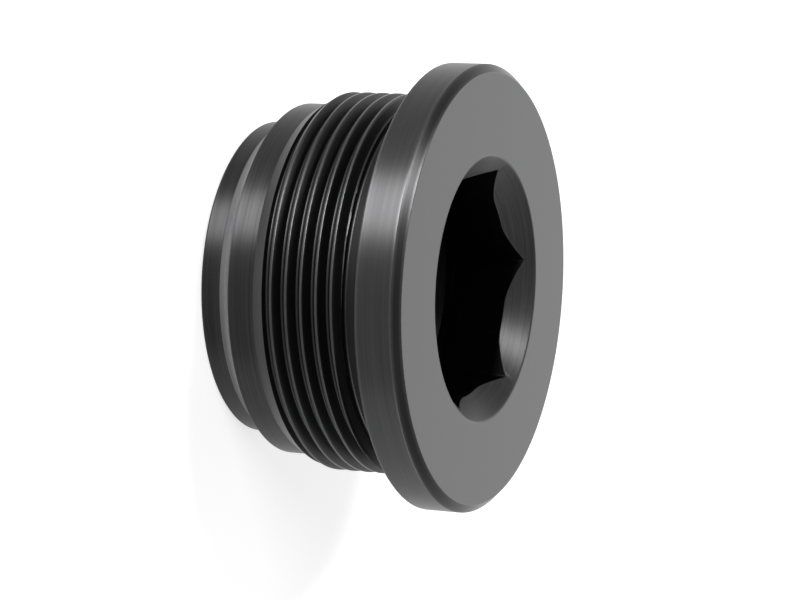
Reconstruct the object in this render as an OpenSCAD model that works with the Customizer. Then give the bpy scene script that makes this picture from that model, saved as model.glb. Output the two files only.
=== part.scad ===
// Axle housing plug: one turned and threaded steel piece with a collar and a blind hexagon socket.
// It stands on its tip end, with the collar and the socket facing up.

/* [Collar] */
// Diameter of the collar
collar_d = 56; // [54:0.5:70]
// Height of the collar
collar_h = 5.7; // [4:0.1:10]
// Chamfer round the front edge of the collar
collar_chamfer = 1; // [0.4:0.1:2]
// Edge break on the back edge of the collar
collar_break = 0.25; // [0.1:0.05:0.6]

/* [Thread] */
// Nominal diameter of the thread
thread_d = 48; // [47.6:0.1:50]
// How far the crests lie inside the nominal diameter, on the radius
crest_drop = 0.05; // [0:0.01:0.15]
// Pitch of the thread
thread_pitch = 2; // [1.5:0.25:2]
// Length from the first full crest to the collar, groove included
thread_len = 13.1; // [12:0.1:24]
// Width of the flat on each crest
crest_flat = 0.3; // [0.2:0.05:0.4]
// Width of the flat at the root
root_flat = 0.3; // [0.2:0.05:0.4]
// Included angle of the thread
thread_angle = 60; // [55:5:60]
// Where the thread groove crosses the start of the full crests, in degrees about the axis
thread_phase = 45; // [0:5:355]

/* [Relief groove] */
// How far the groove's bottom lies below the thread's root
relief_under_root = 0.45; // [0.1:0.05:0.6]
// Width of the groove at the crests
relief_w = 4.6; // [4:0.1:5]
// Radius in the corner next to the collar
relief_r = 0.8; // [0.3:0.1:1]
// Slope of the side next to the thread, from the axis
relief_slope = 60; // [45:5:70]
// Radius at the foot of that slope
relief_foot_r = 0.35; // [0.1:0.05:0.6]

/* [Pilot and tip] */
// Diameter of the plain pilot ahead of the thread
pilot_d = 44.6; // [44:0.1:45]
// Length of the plain pilot
pilot_len = 3.35; // [2:0.05:8]
// Edge break on the front edge of the pilot
pilot_break = 0.15; // [0.05:0.05:0.4]
// Length of the lead-in chamfer from pilot to thread
lead_len = 2.85; // [1:0.05:4]
// Diameter of the tip
tip_d = 39.6; // [38:0.1:41]
// Length from the tip's end to the pilot
tip_len = 5; // [4.5:0.25:9]
// Radius of the hollow between tip and shoulder
hollow_r = 2.5; // [0.6:0.1:3]
// Slope of the shoulder up to the pilot, from the axis
shoulder_slope = 75; // [45:5:80]
// Chamfer round the end of the tip
tip_chamfer = 0.3; // [0.1:0.05:0.6]

/* [Hexagon socket] */
// Width across the flats of the hexagon
socket_af = 27; // [22:0.5:28]
// Depth of the hexagon below the collar's face
socket_depth = 10.5; // [8:0.5:16]
// Turn of the hexagon about the axis, in degrees
socket_turn = 45; // [0:5:55]
// How much wider than the flats the drilled bore is, on the diameter
bore_over = 0.4; // [0.2:0.1:1]
// How far the bore runs on below the hexagon
bore_run_on = 0.8; // [0.3:0.1:3]
// Included angle of the bore's point
point_angle = 140; // [118:1:160]
// Diameter of the countersunk mouth at the collar's face
mouth_d = 33.3; // [32.8:0.1:38]
// Included angle of the mouth
mouth_angle = 90; // [80:5:100]
// Radius on the edge between the collar's face and the mouth
mouth_edge_r = 0.6; // [0.2:0.1:1]

/* [Hidden] */

steel = "dimgray";
circle_fn = 180;
arc_steps = 8;
// How far a cutting shape passes beyond the surface that it opens
overrun = 1;

collar_r = collar_d / 2;
crest_r = thread_d / 2 - crest_drop;
pilot_r = pilot_d / 2;
tip_r = tip_d / 2;

// Thread groove, a trapezium swept along a right-hand helix
flank_tan = tan(thread_angle / 2);
thread_depth = (thread_pitch - crest_flat - root_flat) / 2 / flank_tan;
root_r = crest_r - thread_depth;
relief_bottom = root_r - relief_under_root;

// The hollow takes no more than the step from tip to pilot
step_out = pilot_r - pilot_break - tip_r;
hollow_arc_r = min(hollow_r, step_out / (1 - cos(shoulder_slope)));
hollow_out = hollow_arc_r * (1 - cos(shoulder_slope));
hollow_up = hollow_arc_r * sin(shoulder_slope);

// Heights above the tip's end
shoulder_up = (pilot_r - tip_r - hollow_out) / tan(shoulder_slope);
hollow_z = tip_len - shoulder_up - hollow_up;
lead_z = tip_len + pilot_len;
thread_z = lead_z + lead_len;
collar_z = thread_z + thread_len;
face_z = collar_z + collar_h;
relief_z = collar_z - relief_w;

// The groove's sloping side ends where it blends into the groove's bottom
slope_drop = crest_r - relief_bottom - relief_foot_r * (1 - cos(relief_slope));
slope_blend_z = relief_z + slope_drop / tan(relief_slope) + relief_foot_r * sin(relief_slope);

// The thread's cutting shape stands a little proud of the crests, and runs from clear of the
// lead-in chamfer to clear of the relief groove's sloping side
cut_out = crest_flat / 4 / flank_tan;
cut_half_root = root_flat / 2;
cut_half_top = cut_half_root + (thread_depth + cut_out) * flank_tan;
cut_z0 = lead_z - thread_pitch / 2;
cut_z1 = relief_z + thread_depth / tan(relief_slope) + root_flat;
steps_per_turn = 60;
cut_steps = ceil((cut_z1 - cut_z0) / thread_pitch * steps_per_turn);

// Hexagon socket
bore_r = (socket_af + bore_over) / 2;
bore_floor_z = face_z - socket_depth - bore_run_on;
point_z = bore_floor_z - bore_r / tan(point_angle / 2);
mouth_r = mouth_d / 2;
mouth_half = mouth_angle / 2;
mouth_foot_z = face_z - (mouth_r - bore_r) / tan(mouth_half);
edge_tangent = mouth_edge_r * tan((90 - mouth_half) / 2);

// Points on an arc about (x, y), from angle a0 to angle a1
function arc(x, y, r, a0, a1) =
    [for (i = [0 : arc_steps]) let (a = a0 + (a1 - a0) * i / arc_steps) [x + r * cos(a), y + r * sin(a)]];

// Half section of the turned blank, from the tip's end up to the collar's face
blank_outline = concat(
    [[0, 0], [tip_r - tip_chamfer, 0], [tip_r, tip_chamfer]],
    arc(tip_r + hollow_arc_r, hollow_z, hollow_arc_r, 180, 180 - shoulder_slope),
    [[pilot_r - pilot_break / 2, tip_len - pilot_break / 2 / tan(shoulder_slope)]],
    [[pilot_r, tip_len + pilot_break], [pilot_r, lead_z]],
    [[crest_r, thread_z], [crest_r, relief_z]],
    arc(relief_bottom + relief_foot_r, slope_blend_z, relief_foot_r, 180 + relief_slope, 180),
    arc(relief_bottom + relief_r, collar_z - relief_r, relief_r, 180, 90),
    [[collar_r - collar_break, collar_z], [collar_r, collar_z + collar_break]],
    [[collar_r, face_z - collar_chamfer], [collar_r - collar_chamfer, face_z], [0, face_z]]
);

// Half section of the turned hollow: the drilled bore with its point, and the countersunk mouth
// with its edge to the face rounded over
hollow_outline = concat(
    [[0, point_z], [bore_r, bore_floor_z], [bore_r, mouth_foot_z]],
    arc(mouth_r + edge_tangent, face_z - mouth_edge_r, mouth_edge_r, 180 - mouth_half, 90),
    [[mouth_r + edge_tangent, face_z + overrun], [0, face_z + overrun]]
);

// Cross-section of the thread groove at one step, as four points in space
function cut_section(i) =
    let (
        z = cut_z0 + (cut_z1 - cut_z0) * i / cut_steps,
        a = thread_phase + 360 * (z - thread_z) / thread_pitch,
        outer = crest_r + cut_out,
        section = [[root_r, -cut_half_root], [root_r, cut_half_root],
                   [outer, cut_half_top], [outer, -cut_half_top]]
    )
    [for (p = section) [p[0] * cos(a), p[0] * sin(a), z + p[1]]];

module blank() {
    rotate_extrude($fn = circle_fn) polygon(blank_outline);
}

module thread_groove() {
    points = [for (i = [0 : cut_steps]) each cut_section(i)];
    last = 4 * cut_steps;
    sides = [for (i = [0 : cut_steps - 1], k = [0 : 3])
        let (a = 4 * i + k, b = 4 * i + (k + 1) % 4)
        each [[a, b + 4, b], [a, a + 4, b + 4]]];
    ends = [[0, 1, 2], [0, 2, 3], [last, last + 2, last + 1], [last, last + 3, last + 2]];
    polyhedron(points = points, faces = concat(sides, ends));
}

module socket() {
    rotate_extrude($fn = circle_fn) polygon(hollow_outline);
    translate([0, 0, face_z - socket_depth]) rotate(socket_turn)
        cylinder(h = socket_depth + overrun, d = socket_af / cos(30), $fn = 6);
}

module housing_plug() {
    color(steel)
    difference() {
        blank();
        thread_groove();
        socket();
    }
}

housing_plug();
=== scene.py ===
import logging
import math
from dataclasses import dataclass, field
from enum import Enum

import bpy
import numpy as np
from mathutils import Matrix, Vector


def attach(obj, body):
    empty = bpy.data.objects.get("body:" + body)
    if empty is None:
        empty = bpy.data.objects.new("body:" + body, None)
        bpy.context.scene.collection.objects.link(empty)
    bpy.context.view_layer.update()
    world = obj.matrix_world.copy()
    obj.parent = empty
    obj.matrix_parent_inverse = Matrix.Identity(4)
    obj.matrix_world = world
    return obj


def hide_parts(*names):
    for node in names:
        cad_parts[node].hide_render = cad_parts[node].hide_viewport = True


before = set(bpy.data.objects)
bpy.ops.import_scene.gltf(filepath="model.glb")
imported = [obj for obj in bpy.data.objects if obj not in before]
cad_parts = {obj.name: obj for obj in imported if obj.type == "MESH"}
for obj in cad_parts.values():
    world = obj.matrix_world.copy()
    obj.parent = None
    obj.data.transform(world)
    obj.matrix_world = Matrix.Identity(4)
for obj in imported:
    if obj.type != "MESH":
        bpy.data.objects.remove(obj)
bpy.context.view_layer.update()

MM = 0.001
IMAGE_WIDTH = 800
IMAGE_HEIGHT = 600

CLOUDS_PER_METRE = 140.0
SPECKS_PER_METRE = 1500.0
GRAINS_PER_METRE = 9000.0
CLOUD_SEED = 3.0
SPECK_SEED = 7.0
GRAIN_SEED = 0.0
MARK_WANDER = 1.2
GLOSS_ALONG_AXIS = 0.25

HEXAGON_SIDES = 6
SIDE_TURN = 2 * math.pi / HEXAGON_SIDES

logging.basicConfig(level=logging.INFO, format="%(name)s: %(message)s")
log = logging.getLogger("axle_housing_plug")


class Surface(Enum):
    """The kinds of surface on the plug, in the order of its material slots."""

    TURNED = 0
    FACED = 1
    THREAD = 2
    SOCKET = 3
    HOLLOW_PAINTED_REFLECTION = 4
    MOUTH = 5
    COLLAR = 6
    LEAD_PAINTED_REFLECTION = 7
    GROOVE_PAINTED_SHADE = 8
    CHAMFER = 9
    WALL = 10


@dataclass(frozen=True)
class Corner:
    """One corner of a half section, in millimetres.

    Args:
        r: distance from the axis.
        z: height above the tip's end.
        soften: radius that rounds the corner.
        steps: number of straight steps in the rounding.
    """

    r: float
    z: float
    soften: float = 0.0
    steps: int = 3


def rounded(before: Corner, corner: Corner, after: Corner) -> list[tuple[float, float]]:
    """Replaces one corner by an arc that is tangent to both of its sides.

    Args:
        before: the corner ahead of it.
        corner: the corner to round.
        after: the corner that follows it.

    Returns:
        The points of the arc, or the corner itself where it stays sharp.
    """
    if corner.soften <= 0:
        return [(corner.r, corner.z)]
    tip = np.array([corner.r, corner.z])
    back = np.array([before.r, before.z]) - tip
    ahead = np.array([after.r, after.z]) - tip
    back = back / np.linalg.norm(back)
    ahead = ahead / np.linalg.norm(ahead)
    half = math.acos(float(np.clip(back @ ahead, -1, 1))) / 2
    reach = corner.soften / math.tan(half)
    middle = back + ahead
    centre = tip + middle / np.linalg.norm(middle) * corner.soften / math.sin(half)
    start = tip + back * reach - centre
    end = tip + ahead * reach - centre
    sweep = math.pi - 2 * half
    points = []
    for i in range(corner.steps + 1):
        w = i / corner.steps
        p = centre + (math.sin((1 - w) * sweep) * start + math.sin(w * sweep) * end) / math.sin(sweep)
        points.append((float(p[0]), float(p[1])))
    return points


def half_section(corners: list[Corner]) -> list[tuple[float, float]]:
    """Draws a half section with every inner corner rounded as asked.

    Args:
        corners: the corners in order; the first and the last stay as they are.

    Returns:
        The points of the section as (radius, height) in millimetres.
    """
    points = [(corners[0].r, corners[0].z)]
    for before, corner, after in zip(corners, corners[1:], corners[2:]):
        points.extend(rounded(before, corner, after))
    points.append((corners[-1].r, corners[-1].z))
    return points


@dataclass
class Collar:
    """The collar, its front chamfer and its face, in millimetres.

    Args:
        diameter: outer diameter.
        height: height from its back to its face.
        chamfer: chamfer round the face.
        back_break: edge break round the back.
        back_soften: radius that softens the edge break.
        soften: radius that softens the chamfer.
    """

    diameter: float = 56.0
    height: float = 5.7
    chamfer: float = 1.0
    back_break: float = 0.25
    back_soften: float = 0.08
    soften: float = 0.14

    @property
    def radius(self) -> float:
        """Outer radius of the collar."""
        return self.diameter / 2


@dataclass
class Thread:
    """The right-hand thread, from its run-in on the lead-in to the relief groove, in millimetres.

    Args:
        diameter: nominal diameter.
        crest_drop: how far the crests lie inside it, on the radius.
        pitch: height of one turn.
        length: from the first full crest to the collar.
        crest_flat: width of the flat on each crest.
        root_flat: width of the flat at the root.
        angle: included angle, in degrees.
        phase: where the groove crosses the first full crest, in degrees about the axis.
        crest_soften: radius that softens the crests.
        root_soften: radius that softens the root.
        flank_steps: number of rows that divide a flank.
    """

    diameter: float = 48.0
    crest_drop: float = 0.05
    pitch: float = 2.0
    length: float = 13.1
    crest_flat: float = 0.3
    root_flat: float = 0.3
    angle: float = 60.0
    phase: float = 45.0
    crest_soften: float = 0.1
    root_soften: float = 0.12
    flank_steps: int = 4

    @property
    def crest_r(self) -> float:
        """Radius of the crests."""
        return self.diameter / 2 - self.crest_drop

    @property
    def depth(self) -> float:
        """Depth of the thread groove."""
        return (self.pitch - self.crest_flat - self.root_flat) / 2 / math.tan(math.radians(self.angle / 2))

    @property
    def root_r(self) -> float:
        """Radius at the root."""
        return self.crest_r - self.depth

    def one_pitch(self) -> tuple[np.ndarray, np.ndarray]:
        """Draws one pitch of the thread, from the middle of a root to the middle of the next.

        Returns:
            Heights above the root's middle and radii, in millimetres.
        """
        root = self.root_flat / 2
        crest = self.crest_flat / 2
        low = Corner(self.root_r, root, self.root_soften)
        high = Corner(self.crest_r, self.pitch / 2 - crest, self.crest_soften)
        rising = half_section([Corner(self.root_r, 0), low, high, Corner(self.crest_r, self.pitch / 2)])
        flank_start, flank_end = rising[low.steps + 1], rising[low.steps + 2]
        between = [
            (
                flank_start[0] + (flank_end[0] - flank_start[0]) * i / self.flank_steps,
                flank_start[1] + (flank_end[1] - flank_start[1]) * i / self.flank_steps,
            )
            for i in range(1, self.flank_steps)
        ]
        rising = rising[: low.steps + 2] + between + rising[low.steps + 2 :]
        falling = [(r, self.pitch - z) for r, z in reversed(rising[:-1])]
        whole = rising + falling
        return np.array([z for _, z in whole]), np.array([r for r, _ in whole])


@dataclass
class Relief:
    """The groove between the thread and the collar, in millimetres.

    Args:
        under_root: how far its bottom lies below the thread's root.
        width: width at the crests.
        radius: radius in the corner next to the collar.
        foot_radius: radius at the foot of the side next to the thread.
        slope: slope of that side from the axis, in degrees.
    """

    under_root: float = 0.45
    width: float = 4.6
    radius: float = 0.8
    foot_radius: float = 0.35
    slope: float = 60.0

    @property
    def fall(self) -> float:
        """How far the side next to the thread falls for each millimetre of height."""
        return math.tan(math.radians(self.slope))


@dataclass
class Nose:
    """The plain pilot, the shoulder and the tip ahead of the thread, in millimetres.

    Args:
        pilot_diameter: diameter of the pilot.
        pilot_length: length of the pilot.
        lead_length: length of the lead-in from pilot to thread.
        tip_diameter: diameter of the tip.
        tip_length: from the tip's end to the pilot.
        hollow_r: radius of the hollow between tip and shoulder.
        shoulder_slope: slope of the shoulder from the axis, in degrees.
        tip_chamfer: chamfer round the tip's end.
        tip_soften: radius that softens that chamfer.
        soften: radius that softens the pilot's edges.
    """

    pilot_diameter: float = 44.6
    pilot_length: float = 3.35
    lead_length: float = 2.85
    tip_diameter: float = 39.6
    tip_length: float = 5.0
    hollow_r: float = 2.5
    shoulder_slope: float = 75.0
    tip_chamfer: float = 0.3
    tip_soften: float = 0.1
    soften: float = 0.12

    @property
    def pilot_r(self) -> float:
        """Radius of the pilot."""
        return self.pilot_diameter / 2

    @property
    def tip_r(self) -> float:
        """Radius of the tip."""
        return self.tip_diameter / 2


@dataclass
class Socket:
    """The countersunk mouth, the hexagon and the drilled bore, in millimetres.

    Args:
        across_flats: width across the flats of the hexagon.
        depth: depth of the hexagon below the collar's face.
        turn: turn of the hexagon about the axis, in degrees.
        bore_over: how much wider than the flats the bore is, on the diameter.
        bore_run_on: how far the bore runs on below the hexagon.
        point_angle: included angle of the bore's point, in degrees.
        mouth_diameter: diameter of the mouth at the collar's face.
        mouth_angle: included angle of the mouth, in degrees.
        edge_r: radius between the face and the mouth.
        edge_steps: number of steps in that radius.
        soften: size of the rounding between the mouth's cone and the wall.
        soften_rows: its rows as shares of that size: up the cone, past the corner, down the wall.
        wall_rows: rows down the wall, as shares of its height.
        point_rows: rows of the bore's point, as shares of its radius.
        blend: how softly the hexagon's flats run into the bore.
    """

    across_flats: float = 27.0
    depth: float = 10.5
    turn: float = 45.0
    bore_over: float = 0.4
    bore_run_on: float = 0.8
    point_angle: float = 140.0
    mouth_diameter: float = 33.3
    mouth_angle: float = 90.0
    edge_r: float = 0.6
    edge_steps: int = 6
    soften: float = 0.12
    soften_rows: tuple[float, float, float] = (0.7, 0.15, 0.9)
    wall_rows: tuple[float, ...] = (0.3, 0.65, 1.0)
    point_rows: tuple[float, ...] = (1.0, 0.75, 0.5, 0.25, 0.0)
    blend: float = 0.12

    @property
    def bore_r(self) -> float:
        """Radius of the bore drilled ahead of the hexagon."""
        return (self.across_flats + self.bore_over) / 2

    @property
    def mouth_r(self) -> float:
        """Radius of the mouth at the collar's face."""
        return self.mouth_diameter / 2

    @property
    def mouth_fall(self) -> float:
        """How far the mouth's cone falls for each millimetre inward."""
        return math.tan(math.radians(90 - self.mouth_angle / 2))

    def hexagon_radius(self, angles: np.ndarray) -> np.ndarray:
        """Distance from the axis to the hexagon.

        Args:
            angles: directions about the axis, in radians.

        Returns:
            The distance in each direction, in millimetres.
        """
        from_corner = np.mod(angles - math.radians(self.turn), SIDE_TURN)
        return self.across_flats / 2 / np.cos(from_corner - SIDE_TURN / 2)

    def wall_radius(self, angles: np.ndarray) -> np.ndarray:
        """Distance from the axis to the socket's wall, hexagon and bore blended together.

        Args:
            angles: directions about the axis, in radians.

        Returns:
            The distance in each direction, in millimetres.
        """
        past = self.hexagon_radius(angles) - self.bore_r
        return self.bore_r + (past + np.sqrt(past**2 + self.blend**2)) / 2


@dataclass(frozen=True)
class RubAndSheen:
    """How far handling rubs the oxide thin and where highlights and a reflection are painted lighter, in
    millimetres.

    Args:
        crest_depth: how deep it reaches below the crests.
        crest_fade: length over which it fades there.
        hollow_sheen_start: how far outside the tip the painted reflection across the shoulder's hollow
            begins.
        hollow_sheen_fade: length over which that painted reflection grows to full.
        foot_highlight_rise: how far outside the relief groove's bottom the painted highlight line at its foot
            sits.
        edge_reach: how far it reaches from a turned edge.
    """

    crest_depth: float = 0.12
    crest_fade: float = 0.1
    hollow_sheen_start: float = 0.02
    hollow_sheen_fade: float = 0.7
    foot_highlight_rise: float = 0.1
    edge_reach: float = 0.18


@dataclass(frozen=True)
class Zones:
    """Where one finish gives way to the next, in millimetres.

    Args:
        hollow_sheen_start: how far outside the tip the hollow's lighter painted-reflection finish begins.
        shoulder_edge: how far below the pilot it ends.
        chamfer_start: how far up the chamfer its own finish begins.
        mouth_rim: how far outside the mouth its finish reaches.
        level: heights nearer than this are one height.
        on_blank: how near the blank a point of the thread counts as uncut.
        root_reach: how far above the root the last wall's finish begins.
    """

    hollow_sheen_start: float = 0.03
    shoulder_edge: float = 0.05
    chamfer_start: float = 0.02
    mouth_rim: float = 1.0
    level: float = 1e-6
    on_blank: float = 2e-3
    root_reach: float = 0.1


@dataclass(frozen=True)
class BlackenedSteel:
    """Black oxide over turned steel, with the cutting marks of one kind of surface.

    Args:
        name: name of the material.
        grey: linear base tone.
        roughness: middle roughness.
        roughness_swing: how far the roughness wanders.
        marks_per_mm: number of cutting marks in a millimetre.
        mark_height: height of the cutting marks, in metres.
        grain_height: height of the fine grain, in metres.
        anisotropy: how far the gloss spreads across the marks.
        patina: how far the tone wanders.
        rub_and_sheen_gain: how much lighter the rubbed oxide, the painted highlights on edges and the painted
            reflection in the shoulder's hollow are.
        mark_tone: how far the tone follows the cutting marks.
    """

    name: str
    grey: float
    roughness: float = 0.36
    roughness_swing: float = 0.03
    marks_per_mm: float = 4.0
    mark_height: float = 1.2e-6
    grain_height: float = 0.4e-6
    anisotropy: float = 0.0
    patina: float = 0.12
    rub_and_sheen_gain: float = 0.25
    mark_tone: float = 0.3

    @property
    def colour(self) -> tuple[float, float, float]:
        """Linear base colour, a hair cooler than neutral."""
        return (self.grey, self.grey, self.grey * 1.02)


def new_group(name: str, inputs: dict[str, float], outputs: dict[str, str]) -> bpy.types.NodeTree:
    """Starts a shader node group with named inputs and outputs.

    Args:
        name: name of the group.
        inputs: plain number inputs and their defaults.
        outputs: outputs and their socket types.

    Returns:
        The new group, with its input and output nodes in place.
    """
    group = bpy.data.node_groups.new(name, "ShaderNodeTree")
    for label, value in inputs.items():
        socket = group.interface.new_socket(name=label, in_out="INPUT", socket_type="NodeSocketFloat")
        socket.default_value = value
    for label, kind in outputs.items():
        group.interface.new_socket(name=label, in_out="OUTPUT", socket_type=kind)
    group.nodes.new("NodeGroupInput").name = "in"
    group.nodes.new("NodeGroupOutput").name = "out"
    return group


class NodeWriter:
    """Adds nodes to one tree and joins them, so that a graph reads like a formula."""

    def __init__(self, tree: bpy.types.NodeTree) -> None:
        """Keeps the tree that the nodes go to."""
        self.tree = tree

    def node(self, kind: str, **settings: object) -> bpy.types.Node:
        """Adds one node.

        Args:
            kind: Blender's name for the node type.
            settings: attributes to set on it.

        Returns:
            The new node.
        """
        made = self.tree.nodes.new(kind)
        for key, value in settings.items():
            setattr(made, key, value)
        return made

    def put(self, socket: bpy.types.NodeSocket, value: object) -> None:
        """Feeds an input from another socket, or sets it to a plain value.

        Args:
            socket: the input.
            value: the other socket, or the plain value.
        """
        if isinstance(value, bpy.types.NodeSocket):
            self.tree.links.new(value, socket)
        else:
            socket.default_value = value

    def maths(self, operation: str, *values: object) -> bpy.types.NodeSocket:
        """Adds one step of arithmetic.

        Args:
            operation: the Math node's operation.
            values: its inputs, as sockets or numbers.

        Returns:
            The result's socket.
        """
        made = self.node("ShaderNodeMath", operation=operation)
        for socket, value in zip(made.inputs, values):
            self.put(socket, value)
        return made.outputs[0]

    def noise(
        self, vector: bpy.types.NodeSocket, w: object, scale: float, detail: float
    ) -> bpy.types.NodeSocket:
        """Adds four-dimensional noise.

        Args:
            vector: where to read it.
            w: the fourth coordinate.
            scale: how fine it is.
            detail: number of finer layers on top.

        Returns:
            The noise value's socket, from 0 to 1.
        """
        made = self.node("ShaderNodeTexNoise", noise_dimensions="4D")
        self.put(made.inputs["Vector"], vector)
        self.put(made.inputs["W"], w)
        self.put(made.inputs["Scale"], scale)
        self.put(made.inputs["Detail"], detail)
        return made.outputs["Fac"]

    def span(self, value: bpy.types.NodeSocket, low: object, high: object) -> bpy.types.NodeSocket:
        """Stretches a value from 0 to 1 over another range.

        Args:
            value: the value to stretch.
            low: result at 0.
            high: result at 1.

        Returns:
            The stretched value's socket.
        """
        made = self.node("ShaderNodeMapRange")
        self.put(made.inputs["Value"], value)
        self.put(made.inputs["To Min"], low)
        self.put(made.inputs["To Max"], high)
        return made.outputs["Result"]


def cutting_marks_group() -> bpy.types.NodeTree:
    """Builds the shared group that gives the rings a lathe tool leaves, which run round the axis.

    Returns:
        The group, with a height in metres and a mask from 0 to 1.
    """
    group = new_group(
        "cutting_marks",
        {"Marks per mm": 5.0, "Mark height": 2e-6, "Grain height": 1e-6},
        {"Height": "NodeSocketFloat", "Marks": "NodeSocketFloat"},
    )
    make = NodeWriter(group)
    given = group.nodes["in"].outputs
    place = make.node("ShaderNodeTexCoord").outputs["Object"]
    apart = make.node("ShaderNodeSeparateXYZ")
    make.put(apart.inputs[0], place)
    x, y, z = apart.outputs[0], apart.outputs[1], apart.outputs[2]
    radius = make.maths("SQRT", make.maths("ADD", make.maths("MULTIPLY", x, x), make.maths("MULTIPLY", y, y)))
    safe = make.maths("MAXIMUM", radius, 1e-6)
    round_x = make.maths("DIVIDE", x, safe)
    round_y = make.maths("DIVIDE", y, safe)
    per_metre = make.maths("MULTIPLY", given["Marks per mm"], 1000.0)
    rings = make.node("ShaderNodeCombineXYZ")
    make.put(rings.inputs[0], make.maths("MULTIPLY", radius, per_metre))
    make.put(rings.inputs[1], make.maths("MULTIPLY", z, per_metre))
    make.put(rings.inputs[2], make.maths("MULTIPLY", round_x, MARK_WANDER))
    marks = make.noise(rings.outputs[0], make.maths("MULTIPLY", round_y, MARK_WANDER), 1.0, 1.5)
    grain = make.noise(place, GRAIN_SEED, GRAINS_PER_METRE, 2.0)
    height = make.maths(
        "ADD",
        make.maths("MULTIPLY", marks, given["Mark height"]),
        make.maths("MULTIPLY", grain, given["Grain height"]),
    )
    make.put(group.nodes["out"].inputs["Height"], height)
    make.put(group.nodes["out"].inputs["Marks"], marks)
    return group


def patina_and_sheen_group() -> bpy.types.NodeTree:
    """Builds the shared group for the uneven tone of a black oxide bath and for the lighter edges, which are
    partly rubbed oxide and partly painted highlight and painted reflection.

    Returns:
        The group, with a factor on the colour and a roughness.
    """
    group = new_group(
        "oxide_patina_and_painted_sheen",
        {
            "Patina": 0.1,
            "Rub and sheen gain": 0.2,
            "Roughness": 0.35,
            "Roughness swing": 0.05,
            "Marks": 0.5,
            "Mark tone": 0.3,
        },
        {"Tone": "NodeSocketFloat", "Roughness": "NodeSocketFloat"},
    )
    make = NodeWriter(group)
    given = group.nodes["in"].outputs
    place = make.node("ShaderNodeTexCoord").outputs["Object"]
    cloud = make.noise(place, CLOUD_SEED, CLOUDS_PER_METRE, 3.0)
    speck = make.noise(place, SPECK_SEED, SPECKS_PER_METRE, 2.0)
    # edge attribute: rubbed oxide mixed with painted highlights and a painted reflection, made lighter by the
    # edge gain
    edge = make.node("ShaderNodeAttribute", attribute_name="edge").outputs["Fac"]
    rub_and_sheen = make.maths("MULTIPLY", edge, make.span(speck, 0.4, 1.0))
    low = make.maths("SUBTRACT", 1.0, given["Patina"])
    high = make.maths("ADD", 1.0, given["Patina"])
    tone = make.span(cloud, low, high)
    thin = make.maths("SUBTRACT", 1.0, given["Mark tone"])
    thick = make.maths("ADD", 1.0, given["Mark tone"])
    lined = make.maths("MULTIPLY", tone, make.span(given["Marks"], thin, thick))
    rubbed_and_sheened = make.maths("ADD", lined, make.maths("MULTIPLY", rub_and_sheen, given["Rub and sheen gain"]))
    make.put(group.nodes["out"].inputs["Tone"], rubbed_and_sheened)
    rough_low = make.maths("SUBTRACT", given["Roughness"], given["Roughness swing"])
    rough_high = make.maths("ADD", given["Roughness"], given["Roughness swing"])
    make.put(group.nodes["out"].inputs["Roughness"], make.span(cloud, rough_low, rough_high))
    return group


class Finisher:
    """Turns finishes into materials that share the two node groups."""

    def __init__(self) -> None:
        """Builds the shared groups once."""
        self.marks = cutting_marks_group()
        self.patina = patina_and_sheen_group()

    def material(self, finish: BlackenedSteel) -> bpy.types.Material:
        """Builds the material of one finish.

        Args:
            finish: the values of the finish.

        Returns:
            The material.
        """
        made = bpy.data.materials.new(finish.name)
        made.use_nodes = True
        tree = made.node_tree
        make = NodeWriter(tree)
        shader = tree.nodes["Principled BSDF"]
        marks = make.node("ShaderNodeGroup", node_tree=self.marks)
        make.put(marks.inputs["Marks per mm"], finish.marks_per_mm)
        make.put(marks.inputs["Mark height"], finish.mark_height)
        make.put(marks.inputs["Grain height"], finish.grain_height)
        tone = make.node("ShaderNodeGroup", node_tree=self.patina)
        make.put(tone.inputs["Patina"], finish.patina)
        make.put(tone.inputs["Rub and sheen gain"], finish.rub_and_sheen_gain)
        make.put(tone.inputs["Roughness"], finish.roughness)
        make.put(tone.inputs["Roughness swing"], finish.roughness_swing)
        make.put(tone.inputs["Mark tone"], finish.mark_tone)
        make.put(tone.inputs["Marks"], marks.outputs["Marks"])
        colour = make.node("ShaderNodeVectorMath", operation="SCALE")
        make.put(colour.inputs[0], finish.colour)
        make.put(colour.inputs["Scale"], tone.outputs["Tone"])
        make.put(shader.inputs["Base Color"], colour.outputs[0])
        make.put(shader.inputs["Roughness"], tone.outputs["Roughness"])
        make.put(shader.inputs["Metallic"], 1.0)
        bump = make.node("ShaderNodeBump")
        make.put(bump.inputs["Strength"], 1.0)
        make.put(bump.inputs["Distance"], 1.0)
        make.put(bump.inputs["Height"], marks.outputs["Height"])
        make.put(shader.inputs["Normal"], bump.outputs[0])
        if finish.anisotropy > 0:
            make.put(shader.inputs["Anisotropic"], finish.anisotropy)
            make.put(shader.inputs["Anisotropic Rotation"], GLOSS_ALONG_AXIS)
            tangent = make.node("ShaderNodeTangent", direction_type="RADIAL", axis="Z")
            make.put(shader.inputs["Tangent"], tangent.outputs[0])
        return made


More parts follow.
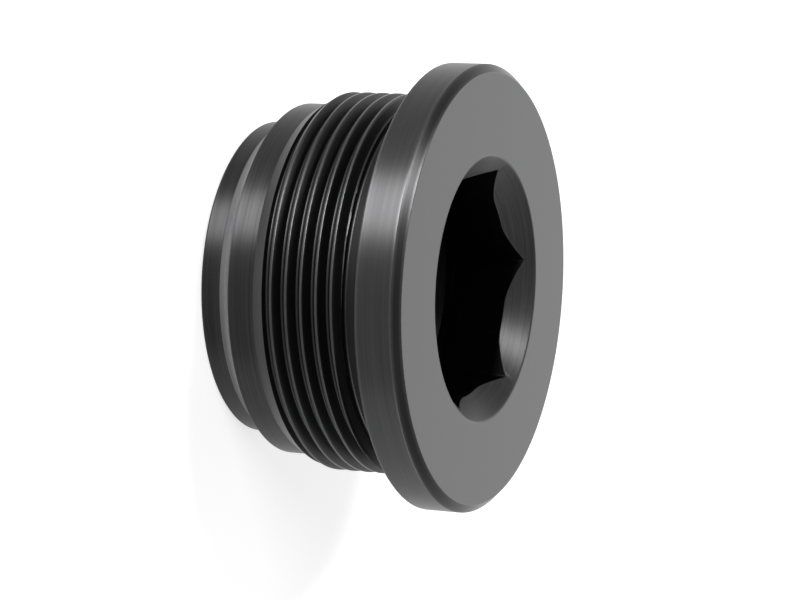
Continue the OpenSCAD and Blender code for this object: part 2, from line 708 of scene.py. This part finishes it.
@dataclass
class HousingPlug:
    """The whole plug: one closed skin with a true helical thread and hexagon socket.

    Args:
        collar: sizes of the collar.
        thread: sizes of the thread.
        relief: sizes of the relief groove.
        nose: sizes of the pilot and the tip.
        socket: sizes of the socket.
        rub_and_sheen: how far the rubbed oxide and the painted highlights and reflection reach.
        zones: where one finish gives way to the next.
        columns: number of columns round the axis.
        margin: distance from a rubbed and highlight-painted edge to the row that ends its lightening, in
            millimetres.
        trim: how far the thread's rows pass the root on the relief groove's slope, in millimetres.
        cone_guide: how far down the mouth's cone the point lies that steers its rounded edge.
        merge: points nearer than this are one, in millimetres.
        sharp_degrees: turn between two faces from which their edge stays sharp.
    """

    collar: Collar = field(default_factory=Collar)
    thread: Thread = field(default_factory=Thread)
    relief: Relief = field(default_factory=Relief)
    nose: Nose = field(default_factory=Nose)
    socket: Socket = field(default_factory=Socket)
    rub_and_sheen: RubAndSheen = field(default_factory=RubAndSheen)
    zones: Zones = field(default_factory=Zones)
    columns: int = 360
    margin: float = 0.3
    trim: float = 0.015
    cone_guide: float = 1.5
    merge: float = 2e-4
    sharp_degrees: float = 32.0

    def __post_init__(self) -> None:
        """Works out the heights, from the tip's end up."""
        nose, thread, relief = self.nose, self.thread, self.relief
        self.lead_z = nose.tip_length + nose.pilot_length
        self.thread_z = self.lead_z + nose.lead_length
        self.collar_z = self.thread_z + thread.length
        self.face_z = self.collar_z + self.collar.height
        self.relief_z = self.collar_z - relief.width
        self.relief_r = thread.root_r - relief.under_root
        self.angles = self._angles()

    def _angles(self) -> np.ndarray:
        """Spreads the columns, with one exactly on each line where bore and flat meet.

        Returns:
            The angles from 0 to a full turn, both ends included, in radians.
        """
        step = 2 * math.pi / self.columns
        angles = np.arange(self.columns + 1) * step
        half = math.acos(self.socket.across_flats / 2 / self.socket.bore_r)
        for side in range(HEXAGON_SIDES):
            middle = math.radians(self.socket.turn) + SIDE_TURN * (side + 0.5)
            for target in (middle - half, middle + half):
                target = target % (2 * math.pi)
                nearest = round(target / step)
                if 0 < nearest < self.columns:
                    angles[nearest] = target
        return angles

    def _blank_radius(self, z: np.ndarray) -> np.ndarray:
        """Radius of the unthreaded blank between the pilot and the relief groove.

        Args:
            z: heights, in millimetres.

        Returns:
            The radius at each height, in millimetres.
        """
        lead = (self.thread.crest_r - self.nose.pilot_r) / self.nose.lead_length
        rising = self.nose.pilot_r + (z - self.lead_z) * lead
        falling = self.thread.crest_r - (z - self.relief_z) * self.relief.fall
        return np.minimum(np.minimum(rising, falling), self.thread.crest_r)

    def _lower_section(self) -> list[tuple[float, float]]:
        """Draws the half section from the centre of the tip's end to the foot of the lead-in.

        Returns:
            The points as (radius, height), in millimetres.
        """
        nose = self.nose
        slope = math.tan(math.radians(nose.shoulder_slope))
        shoulder_z = nose.tip_length - (nose.pilot_r - nose.tip_r) / slope
        chamfer, soft = nose.tip_chamfer, nose.tip_soften
        return half_section(
            [
                Corner(0, 0),
                Corner(nose.tip_r * 0.5, 0),
                Corner(nose.tip_r - chamfer, 0, soft),
                Corner(nose.tip_r, chamfer, soft),
                Corner(nose.tip_r, shoulder_z, nose.hollow_r, 14),
                Corner(nose.pilot_r, nose.tip_length, nose.soften, 4),
                Corner(nose.pilot_r, nose.tip_length + self.margin),
                Corner(nose.pilot_r, self.lead_z, nose.soften),
                Corner(self.thread.crest_r, self.thread_z),
            ]
        )[:-1]

    def _upper_section(self, start: tuple[float, float]) -> list[tuple[float, float]]:
        """Draws the half section from the relief groove's slope up to the edge of the mouth.

        Args:
            start: the point on the slope where the thread's skin ends.

        Returns:
            The points as (radius, height), without the start.
        """
        collar, relief, socket = self.collar, self.relief, self.socket
        foot_z = self.relief_z + (self.thread.crest_r - self.relief_r) / relief.fall
        guide = (socket.mouth_r - self.cone_guide, self.face_z - self.cone_guide * socket.mouth_fall)
        points = half_section(
            [
                Corner(*start),
                Corner(self.relief_r, foot_z, relief.foot_radius, 6),
                Corner(self.relief_r, self.collar_z, relief.radius, 8),
                Corner(collar.radius - collar.back_break, self.collar_z, collar.back_soften),
                Corner(collar.radius, self.collar_z + collar.back_break, collar.back_soften),
                Corner(collar.radius, self.collar_z + collar.back_break + self.margin),
                Corner(collar.radius, self.face_z - collar.chamfer - self.margin),
                Corner(collar.radius, self.face_z - collar.chamfer, collar.soften, 4),
                Corner(collar.radius - self.margin, self.face_z - collar.chamfer + self.margin),
                Corner(collar.radius - collar.chamfer + self.margin, self.face_z - self.margin),
                Corner(collar.radius - collar.chamfer, self.face_z, collar.soften, 4),
                Corner(collar.radius - collar.chamfer - self.margin, self.face_z),
                Corner(socket.mouth_r, self.face_z, socket.edge_r, socket.edge_steps),
                Corner(*guide),
            ]
        )
        return points[1:-1]

    def _thread_rows(self) -> tuple[np.ndarray, np.ndarray]:
        """Draws rows that climb with the thread, trimmed to the blank, for every column.

        The row nearest to a line where the thread cuts the blank moves onto it, and so does the row
        nearest to an uncut edge of the blank, so that these edges stay sharp.

        Returns:
            Radii and heights, one row of values for each row of the skin.
        """
        thread = self.thread
        rise, radius = thread.one_pitch()
        pitch = thread.pitch
        low = self.lead_z + self.nose.soften
        high = self.relief_z + thread.depth / self.relief.fall + self.trim
        shift = math.radians(thread.phase)
        first = math.floor((low - self.thread_z) / pitch) - 2
        last = math.ceil((high - self.thread_z) / pitch) + 2
        starts = self.thread_z + pitch * np.arange(first, last + 1)
        stack = (starts[:, None] + rise[None, :-1]).ravel()
        shape = np.tile(radius[:-1], len(starts))
        radii, heights = [], []
        for angle in self.angles:
            z = stack + pitch * (angle - shift) / (2 * math.pi)
            keep = np.clip(z, low, high)
            wave = np.interp(keep, z, shape)
            blank = self._blank_radius(keep)
            gap = wave - blank
            cross = np.nonzero(np.sign(gap[:-1]) * np.sign(gap[1:]) < 0)[0]
            for i in cross:
                part = gap[i] / (gap[i] - gap[i + 1])
                at = keep[i] + (keep[i + 1] - keep[i]) * part
                nearer = i if part < 0.5 else i + 1
                if low < keep[nearer] < high:
                    keep[nearer] = at
            for edge in (self.thread_z, self.relief_z):
                nearer = int(np.argmin(np.abs(keep - edge)))
                if float(np.interp(edge, z, shape)) >= thread.crest_r - self.zones.level:
                    keep[nearer] = edge
            wave = np.interp(keep, z, shape)
            radii.append(np.minimum(wave, self._blank_radius(keep)))
            heights.append(keep)
        return np.array(radii).T, np.array(heights).T

    def _socket_rows(self) -> tuple[np.ndarray, np.ndarray, list[Surface]]:
        """Draws rows from the mouth's cone down the socket to the axis, for every column.

        Returns:
            Radii, heights and the kind of surface above each row.
        """
        socket, down = self.socket, self.socket.mouth_fall
        wall = socket.wall_radius(self.angles)
        cone_z = self.face_z - (socket.mouth_r - wall) * down
        floor_z = self.face_z - socket.depth
        bore_z = floor_z - socket.bore_run_on
        point_z = bore_z - socket.bore_r / math.tan(math.radians(socket.point_angle / 2))
        rows: list[tuple[np.ndarray, np.ndarray, Surface]] = []
        ones = np.ones_like(wall)
        up, past, under = (socket.soften * share for share in socket.soften_rows)
        rows.append((wall + up, cone_z + up * down, Surface.MOUTH))
        rows.append((wall + past, cone_z - past, Surface.MOUTH))
        rows.append((wall, cone_z - under, Surface.SOCKET))
        for part in socket.wall_rows:
            rows.append((wall, cone_z + (floor_z - cone_z) * part, Surface.SOCKET))
        rows.append((socket.bore_r * ones, floor_z * ones, Surface.SOCKET))
        for part in socket.point_rows:
            height = point_z + (bore_z - point_z) * part
            rows.append((socket.bore_r * part * ones, height * ones, Surface.SOCKET))
        radii, heights, kinds = zip(*rows)
        return np.array(radii), np.array(heights), list(kinds)

    def build(self) -> bpy.types.Object:
        """Builds the skin of the whole plug.

        Returns:
            The object, in metres, in the frame of the solids.
        """
        ones = np.ones_like(self.angles)
        lower = self._lower_section()
        thread_r, thread_z = self._thread_rows()
        top = (float(thread_r[-1, 0]), float(thread_z[-1, 0]))
        upper = self._upper_section(top)
        socket_r, socket_z, socket_kinds = self._socket_rows()
        lower_r, lower_z = (np.array(values)[:, None] * ones for values in zip(*lower))
        upper_r, upper_z = (np.array(values)[:, None] * ones for values in zip(*upper))
        radii = np.vstack([lower_r, thread_r, upper_r, socket_r])
        heights = np.vstack([lower_z, thread_z, upper_z, socket_z])
        kinds = self._kinds(lower, thread_r, thread_z, upper, socket_kinds)
        edge = self._rub_and_sheen_mask(radii, heights, len(lower), len(thread_r))
        return self._skin(radii, heights, kinds, edge)

    def _kinds(
        self,
        lower: list[tuple[float, float]],
        thread_r: np.ndarray,
        thread_z: np.ndarray,
        upper: list[tuple[float, float]],
        socket_kinds: list[Surface],
    ) -> np.ndarray:
        """Names the kind of surface of every cell of the skin.

        Args:
            lower: half section below the thread.
            thread_r: radii of the thread's rows.
            thread_z: heights of the thread's rows.
            upper: half section above the thread.
            socket_kinds: kinds of the socket's rows.

        Returns:
            The kinds' values, for each row and column; a row's cells lead up to it.
        """
        nose, collar, zones = self.nose, self.collar, self.zones
        rows: list[Surface] = []
        for r, z in lower:
            # the shoulder's hollow gets a lighter tone that paints a reflection
            hollow = r > nose.tip_r + zones.hollow_sheen_start and z < nose.tip_length - zones.shoulder_edge
            rows.append(Surface.HOLLOW_PAINTED_REFLECTION if hollow else Surface.TURNED)
        rows.extend([Surface.LEAD_PAINTED_REFLECTION] + [Surface.THREAD] * (len(thread_r) - 1))
        before = upper[0][1]
        for r, z in upper:
            level = max(abs(z - self.face_z), abs(before - self.face_z)) < zones.level
            before = z
            if level:
                rows.append(Surface.FACED)
            elif r < self.socket.mouth_r + zones.mouth_rim:
                rows.append(Surface.MOUTH)
            elif z > self.face_z - collar.chamfer + zones.chamfer_start:
                rows.append(Surface.CHAMFER)
            else:
                rows.append(Surface.COLLAR if r > self.thread.crest_r else Surface.GROOVE_PAINTED_SHADE)
        rows.extend(socket_kinds)
        kinds = np.repeat(np.array([kind.value for kind in rows])[:, None], self.columns, axis=1)
        plain = np.abs(thread_r - self._blank_radius(thread_z)) < zones.on_blank
        plain = plain[1:, 1:] & plain[1:, :-1] & plain[:-1, 1:] & plain[:-1, :-1]
        middle = (thread_z[1:, 1:] + thread_z[:-1, :-1]) / 2
        cells = kinds[len(lower) + 1 : len(lower) + len(thread_r)]
        cells[plain & (middle < self.thread_z)] = Surface.LEAD_PAINTED_REFLECTION.value
        above_root = (thread_r[1:, 1:] + thread_r[:-1, :-1]) / 2 > self.thread.root_r + zones.root_reach
        past_ridge = middle > self._last_ridge() + self.thread.crest_flat / 2
        cells[past_ridge & above_root] = Surface.WALL.value
        return kinds

    def _last_ridge(self) -> np.ndarray:
        """Height of the thread's last ridge before the relief groove.

        Returns:
            The height in the middle of each column of cells.
        """
        thread = self.thread
        middle = (self.angles[1:] + self.angles[:-1]) / 2
        turned = (middle - math.radians(thread.phase)) / (2 * math.pi)
        ridge = self.thread_z + thread.pitch * (0.5 + turned)
        reach = self.relief_z + thread.depth / 2
        return ridge + thread.pitch * np.floor((reach - ridge) / thread.pitch)

    def _rub_and_sheen_mask(self, radii: np.ndarray, heights: np.ndarray, before: int, threaded: int) -> np.ndarray:
        """Marks the lighter places: the crests and the edges of the pilot and the collar, where handling rubs
        the oxide and a highlight is also painted; a painted highlight line at the relief groove's foot; and a
        painted reflection that grows across the shoulder's hollow.

        Args:
            radii: radius of every point.
            heights: height of every point.
            before: number of rows ahead of the thread's rows.
            threaded: number of the thread's rows.

        Returns:
            A value from 0 to 1 for every point.
        """
        nose, collar, rub_and_sheen, crest_r = self.nose, self.collar, self.rub_and_sheen, self.thread.crest_r
        mask = np.zeros_like(radii)
        rows = slice(before, before + threaded)
        # rubbed oxide on the crests, which also paints their thin highlight lines
        mask[rows] = np.clip((radii[rows] - (crest_r - rub_and_sheen.crest_depth)) / rub_and_sheen.crest_fade, 0, 1)
        # painted reflection: the shoulder's hollow grows lighter outwards, in place of the reflection of its
        # surroundings
        hollow = (heights < nose.tip_length) & (heights > nose.tip_chamfer)
        hollow &= radii > nose.tip_r + rub_and_sheen.hollow_sheen_start
        mask = np.where(hollow, np.clip((radii - nose.tip_r) / rub_and_sheen.hollow_sheen_fade, 0, 1), mask)
        foot_z = self.relief_z + (crest_r - self.relief_r) / self.relief.fall
        # painted highlight line at the groove's foot; rubbed oxide with a painted highlight on the collar's
        # and pilot's edges
        for r, z in (
            (self.relief_r + rub_and_sheen.foot_highlight_rise, foot_z),
            (collar.radius, self.collar_z + collar.back_break),
            (collar.radius, self.face_z - collar.chamfer),
            (collar.radius - collar.chamfer, self.face_z),
            (nose.pilot_r, nose.tip_length),
        ):
            apart = np.hypot(radii - r, heights - z)
            mask = np.maximum(mask, np.clip(1 - apart / rub_and_sheen.edge_reach, 0, 1))
        return mask

    def _skin(
        self, radii: np.ndarray, heights: np.ndarray, kinds: np.ndarray, edge: np.ndarray
    ) -> bpy.types.Object:
        """Joins rows and columns into one closed mesh.

        Args:
            radii: radius of every point.
            heights: height of every point.
            kinds: kind of surface of every cell.
            edge: rubbed oxide, painted highlight and painted reflection of every point.

        Returns:
            The finished object.
        """
        x = radii * np.cos(self.angles)[None, :]
        y = radii * np.sin(self.angles)[None, :]
        points = np.stack([x, y, heights], axis=-1).reshape(-1, 3)
        keys = np.round(points / self.merge).astype(np.int64)
        _, first, index = np.unique(keys, axis=0, return_index=True, return_inverse=True)
        index = index.reshape(radii.shape)
        corners = points[first] * MM
        rub_and_sheen_at = edge.reshape(-1)[first]
        faces: list[tuple[int, ...]] = []
        slots: list[int] = []
        for i in range(1, len(radii)):
            below, above = index[i - 1], index[i]
            for j in range(self.columns):
                ring = [below[j], below[j + 1], above[j + 1], above[j]]
                loop = [v for n, v in enumerate(ring) if v != ring[n - 1]]
                if len(set(loop)) == len(loop) and len(loop) >= 3:
                    faces.append(tuple(int(v) for v in loop))
                    slots.append(int(kinds[i, j]))
        mesh = bpy.data.meshes.new("housing_plug_skin")
        mesh.from_pydata(corners.tolist(), [], faces)
        mesh.polygons.foreach_set("material_index", slots)
        mesh.validate()
        mesh.update()
        # per point: rubbed oxide mixed with painted highlights and a painted reflection
        layer = mesh.attributes.new("edge", "FLOAT", "POINT")
        layer.data.foreach_set("value", rub_and_sheen_at.astype(np.float32))
        mesh.shade_smooth()
        mesh.set_sharp_from_angle(angle=math.radians(self.sharp_degrees))
        made = bpy.data.objects.new("housing_plug_skin", mesh)
        bpy.context.collection.objects.link(made)
        weighted = made.modifiers.new("even_shading", "WEIGHTED_NORMAL")
        weighted.keep_sharp = True
        return made

    def dress(self, made: bpy.types.Object, finisher: Finisher) -> None:
        """Gives every kind of surface its finish, and ties the piece to the frame.

        Args:
            made: the plug's object.
            finisher: builder of the materials.
        """
        for kind in Surface:
            made.data.materials.append(finisher.material(FINISHES[kind]))
        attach(made, "root")
        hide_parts("housing_plug")


FINISHES = {
    Surface.TURNED: BlackenedSteel(
        "turned_steel",
        grey=0.025,
        roughness=0.42,
        mark_height=3e-6,
        anisotropy=0.85,
        rub_and_sheen_gain=0.8,
        mark_tone=0.5,
    ),
    Surface.COLLAR: BlackenedSteel(
        "collar_steel",
        grey=0.034,
        roughness=0.42,
        mark_height=2e-6,
        anisotropy=0.85,
        rub_and_sheen_gain=1.0,
    ),
    Surface.CHAMFER: BlackenedSteel(
        "chamfer_steel",
        grey=0.017,
        roughness=0.32,
        mark_height=1e-6,
        rub_and_sheen_gain=2.5,
    ),
    Surface.FACED: BlackenedSteel(
        "faced_steel",
        grey=0.06,
        roughness=0.45,
        roughness_swing=0.02,
        marks_per_mm=6.0,
        mark_height=0.6e-6,
        grain_height=0.8e-6,
        mark_tone=0.05,
    ),
    Surface.THREAD: BlackenedSteel(
        "threaded_steel",
        grey=0.018,
        marks_per_mm=6.0,
        mark_height=0.8e-6,
        rub_and_sheen_gain=1.6,
    ),
    Surface.WALL: BlackenedSteel(
        "wall_steel",
        grey=0.04,
        mark_height=3e-6,
        rub_and_sheen_gain=2.5,
        mark_tone=0.5,
    ),
    # painted shade: the relief groove under the collar is darker than the turned steel, and its strong edge
    # gain paints a highlight line at its foot
    Surface.GROOVE_PAINTED_SHADE: BlackenedSteel(
        "groove_painted_shade_and_highlight_steel",
        grey=0.011,
        roughness=0.4,
        marks_per_mm=6.0,
        rub_and_sheen_gain=4.0,
    ),
    Surface.SOCKET: BlackenedSteel(
        "socket_steel",
        grey=0.008,
        roughness=0.38,
        grain_height=0.5e-6,
    ),
    # painted reflection: a lighter tone in the shoulder's hollow stands in for the reflection of the
    # surroundings
    Surface.HOLLOW_PAINTED_REFLECTION: BlackenedSteel(
        "hollow_painted_reflection_steel",
        grey=0.1,
        roughness_swing=0.02,
        marks_per_mm=5.0,
        grain_height=0.3e-6,
        rub_and_sheen_gain=2.5,
    ),
    # painted reflection: the lead-in is lighter than the turned steel, in place of the reflection of the
    # ground below it
    Surface.LEAD_PAINTED_REFLECTION: BlackenedSteel(
        "lead_painted_reflection_steel",
        grey=0.044,
        roughness_swing=0.02,
        marks_per_mm=5.0,
        grain_height=0.3e-6,
        rub_and_sheen_gain=0.5,
    ),
    Surface.MOUTH: BlackenedSteel(
        "mouth_steel",
        grey=0.03,
        roughness=0.4,
        mark_height=3e-6,
        anisotropy=0.5,
        mark_tone=0.5,
    ),
}


@dataclass(frozen=True)
class Softbox:
    """A rectangular lamp that faces the plug.

    Args:
        name: name of the lamp.
        direction: where it is as seen from the plug.
        reach: distance from the plug, in metres.
        size: width and height, in metres.
        watts: power.
    """

    name: str
    direction: tuple[float, float, float]
    reach: float
    size: tuple[float, float]
    watts: float


SOFTBOXES = (
    Softbox("side_box", (-0.56, -0.75, 0.05), 0.55, (0.26, 0.08), 8.2),
    Softbox("fill_box", (0.98, -0.1, 0.2), 0.7, (0.8, 0.3), 3.0),
    Softbox("high_box", (-0.53, -0.17, 0.83), 0.6, (0.16, 0.16), 3.0),
    Softbox("back_box", (0.0, 0.92, 0.45), 0.9, (0.8, 0.4), 1.6),
)


@dataclass
class Studio:
    """The floor, the white surroundings, the lamps and the camera.

    Args:
        floor_half: half the width of the floor, in metres.
        floor_drop: gap that keeps the floor clear of the tip's end, in metres.
        floor_colour: linear colour of the floor.
        floor_lift: how far the seen floor is lifted towards white.
        world_fill: strength of the surroundings as light.
        lamp_aim: height that the lamps face, in metres.
        axis_tilt: turn of the plug's axis out of the line of sight, in degrees.
        axis_slope: turn of the axis in the picture, in degrees.
        distance: distance from the camera to the collar's face, in millimetres.
        face_pixels_per_mm: scale of the picture at the collar's face.
        face_centre: pixel of the picture where the centre of that face lies.
        sensor_width: width of the camera's sensor, in millimetres.
        clip: nearest and farthest distance that the camera sees, in metres.
    """

    floor_half: float = 3.0
    floor_drop: float = 2e-5
    floor_colour: tuple[float, float, float] = (0.55, 0.55, 0.55)
    floor_lift: float = 0.62
    world_fill: float = 0.35
    lamp_aim: float = 0.015
    axis_tilt: float = 66.8
    axis_slope: float = 3.57
    distance: float = 405.0
    face_pixels_per_mm: float = 216.7 / 27.0
    face_centre: tuple[float, float] = (487.3, 289.1)
    sensor_width: float = 36.0
    clip: tuple[float, float] = (0.01, 20.0)

    def floor(self) -> bpy.types.Object:
        """Lays a plain pale floor under the plug, which the camera and reflections see as white.

        Returns:
            The floor.
        """
        half = self.floor_half
        mesh = bpy.data.meshes.new("floor")
        low = -self.floor_drop
        corners = [(-half, -half, low), (half, -half, low), (half, half, low), (-half, half, low)]
        mesh.from_pydata(corners, [], [(0, 1, 2, 3)])
        made = bpy.data.objects.new("floor", mesh)
        bpy.context.collection.objects.link(made)
        material = bpy.data.materials.new("floor")
        material.use_nodes = True
        make = NodeWriter(material.node_tree)
        shader = material.node_tree.nodes["Principled BSDF"]
        shader.inputs["Base Color"].default_value = (*self.floor_colour, 1)
        shader.inputs["Roughness"].default_value = 1.0
        shader.inputs["Specular IOR Level"].default_value = 0.0
        shader.inputs["Emission Color"].default_value = (1, 1, 1, 1)
        seen = self._seen(make)
        make.put(shader.inputs["Emission Strength"], make.maths("MULTIPLY", seen, self.floor_lift))
        made.data.materials.append(material)
        return made

    @staticmethod
    def _seen(make: NodeWriter) -> bpy.types.NodeSocket:
        """One for rays from the camera, from gloss and through glass, and nothing for the rest.

        Args:
            make: writer of the tree that needs it.

        Returns:
            The value's socket.
        """
        path = make.node("ShaderNodeLightPath")
        direct = make.maths("MAXIMUM", path.outputs["Is Camera Ray"], path.outputs["Is Glossy Ray"])
        return make.maths("MAXIMUM", direct, path.outputs["Is Transmission Ray"])

    def world(self) -> None:
        """Surrounds the plug with white that fills its shadows evenly."""
        world = bpy.data.worlds.new("studio")
        bpy.context.scene.world = world
        world.use_nodes = True
        make = NodeWriter(world.node_tree)
        background = world.node_tree.nodes["Background"]
        background.inputs["Color"].default_value = (1, 1, 1, 1)
        seen = self._seen(make)
        make.put(background.inputs["Strength"], make.span(seen, self.world_fill, 1.0))

    def lamps(self) -> None:
        """Hangs the lamps: one low at the side, one that fills, one overhead and one behind."""
        for box in SOFTBOXES:
            lamp = bpy.data.lights.new(box.name, "AREA")
            lamp.shape = "RECTANGLE"
            lamp.size, lamp.size_y = box.size
            lamp.energy = box.watts
            made = bpy.data.objects.new(box.name, lamp)
            toward = Vector(box.direction).normalized()
            made.location = toward * box.reach + Vector((0, 0, self.lamp_aim))
            made.rotation_euler = toward.to_track_quat("Z", "Y").to_euler()
            made.visible_camera = False
            bpy.context.collection.objects.link(made)

    def camera(self, face_height: float) -> bpy.types.Object:
        """Places the camera from how the plug's axis lies in the photograph.

        Args:
            face_height: height of the collar's face, in metres.

        Returns:
            The camera.
        """
        tilt = math.radians(self.axis_tilt)
        slope = math.radians(self.axis_slope)
        pixels = self.face_pixels_per_mm / MM
        reach = self.distance * MM
        across = Vector(
            (
                (self.face_centre[0] - IMAGE_WIDTH / 2) / pixels,
                (self.face_centre[1] - IMAGE_HEIGHT / 2) / pixels,
                reach,
            )
        )
        axis = Vector((math.sin(tilt) * math.cos(slope), math.sin(tilt) * math.sin(slope), -math.cos(tilt)))
        back = -across.normalized()
        near = (back - back.dot(axis) * axis).normalized()
        side = axis.cross(near)
        seen = Matrix((side, -near, axis))
        place = Vector((0, 0, face_height)) - seen @ across
        right, down, ahead = (seen.col[i] for i in range(3))
        turn = Matrix((right, -down, -ahead)).transposed()
        lens = bpy.data.cameras.new("camera")
        lens.sensor_fit = "HORIZONTAL"
        lens.sensor_width = self.sensor_width
        lens.lens = pixels * reach * lens.sensor_width / IMAGE_WIDTH
        lens.clip_start, lens.clip_end = self.clip
        made = bpy.data.objects.new("camera", lens)
        made.matrix_world = Matrix.Translation(place) @ turn.to_4x4()
        bpy.context.collection.objects.link(made)
        bpy.context.scene.camera = made
        return made


def main() -> None:
    """Builds the plug and its studio in order."""
    bpy.context.scene.view_settings.view_transform = "Standard"
    plug = HousingPlug()
    skin = plug.build()
    plug.dress(skin, Finisher())
    log.info("plug: %d faces", len(skin.data.polygons))
    studio = Studio()
    studio.floor()
    studio.world()
    studio.lamps()
    studio.camera(plug.face_z * MM)
    log.info("studio is set")


if __name__ == "__main__":
    main()
